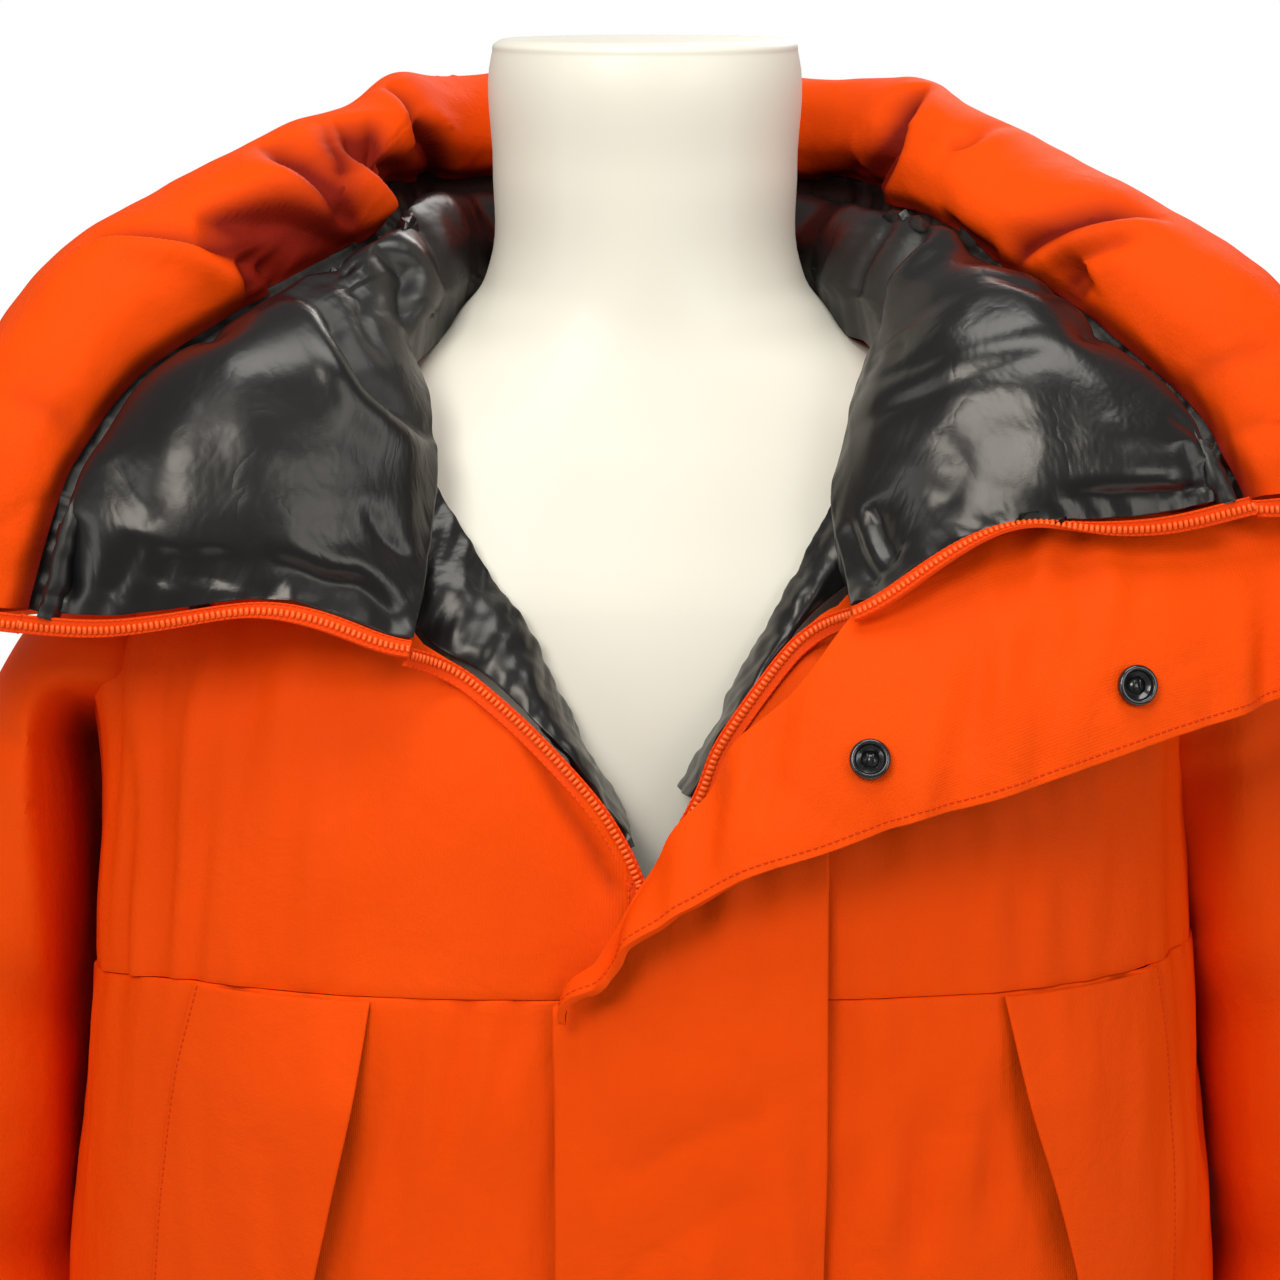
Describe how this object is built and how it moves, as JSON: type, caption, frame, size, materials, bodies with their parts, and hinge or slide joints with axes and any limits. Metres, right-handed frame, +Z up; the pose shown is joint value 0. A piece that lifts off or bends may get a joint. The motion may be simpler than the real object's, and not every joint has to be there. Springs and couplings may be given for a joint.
{
  "type": "puffer jacket on a dress form",
  "caption": "Open-fronted down jacket with a wide spread padded hood collar, glossy lining, storm flap and slanted chest pockets, hung on a limbless dress form with a plain stand",
  "frame": {"origin": "the middle of the stand's flat underside, on the floor", "axes": "+Z up the pole to the form's neck, -Y out of the jacket's front, +X to the viewer's right"},
  "size_m": [0.697, 0.3763, 1.3],
  "materials": {
    "shell": "smooth matt woven shell cloth",
    "lining": "crinkled glossy nylon lining",
    "zip": "woven tape with moulded coil teeth",
    "snap": "glossy black enamel",
    "form": "smooth glossy ivory",
    "stand": "smooth light paint"
  },
  "bodies": {
    "root": {"stand_base": "stand", "stand_pole": "stand", "dress_form": "form", "yoke_left": "shell", "yoke_right": "shell", "front_left": "shell", "front_right": "shell", "back_yoke": "shell", "back": "shell", "sleeve_left": "shell", "sleeve_right": "shell", "collar_lining": "lining", "collar_band": "shell", "hood_shell": "shell", "front_zip_left": "zip", "front_zip_right": "zip", "collar_zip_left": "zip", "collar_zip_right": "zip", "body_lining_left": "lining", "body_lining_right": "lining", "storm_flap": "shell", "placket": "shell", "snap_socket_1": "snap", "snap_socket_2": "snap", "snap_stud": "snap", "pocket_left": "shell", "pocket_right": "shell"}
  },
  "joints": []
}
